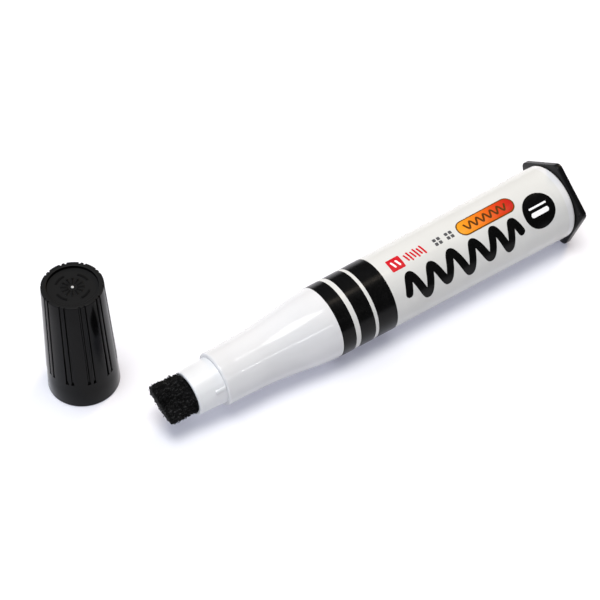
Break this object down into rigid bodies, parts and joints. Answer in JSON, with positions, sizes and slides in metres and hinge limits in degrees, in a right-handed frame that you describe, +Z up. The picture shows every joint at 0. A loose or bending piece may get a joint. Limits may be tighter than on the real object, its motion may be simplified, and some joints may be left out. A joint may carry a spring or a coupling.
{
  "type": "felt tip marker",
  "caption": "Jumbo felt tip marker with a chisel nib, lying uncapped on its side, its grooved cap standing beside it; the cap lifts off.",
  "frame": {"origin": "centre of the footprint of the marker and its cap, on the table surface", "axes": "+X along the marker from the felt nib towards the tail plug, +Z up from the table, +Y towards the side where the cap stands"},
  "size_m": [0.157, 0.0518, 0.0392],
  "materials": {
    "barrel_white": "glossy moulded white",
    "label_film": "glossy printed film",
    "felt": "ink-soaked felt",
    "holder_white": "satin moulded white",
    "reservoir_fibre": "ink-soaked fibre",
    "wrap_film": "clear film over dark fibre",
    "plug_black": "satin moulded black",
    "cap_black": "glossy moulded black",
    "liner_natural": "milky moulded liner"
  },
  "bodies": {
    "marker": {"barrel": "barrel_white", "label_sleeve": "label_film", "nib": "felt", "nib_holder": "holder_white", "ink_reservoir": "reservoir_fibre", "reservoir_wrap": "wrap_film", "end_plug": "plug_black"},
    "cap": {"cap_shell": "cap_black", "cap_liner": "liner_natural"}
  },
  "joints": [
    {"name": "cap_lift", "type": "slide", "parent": "marker", "child": "cap", "axis": [0, 0, 1], "range_m": [0, 0.05]}
  ]
}
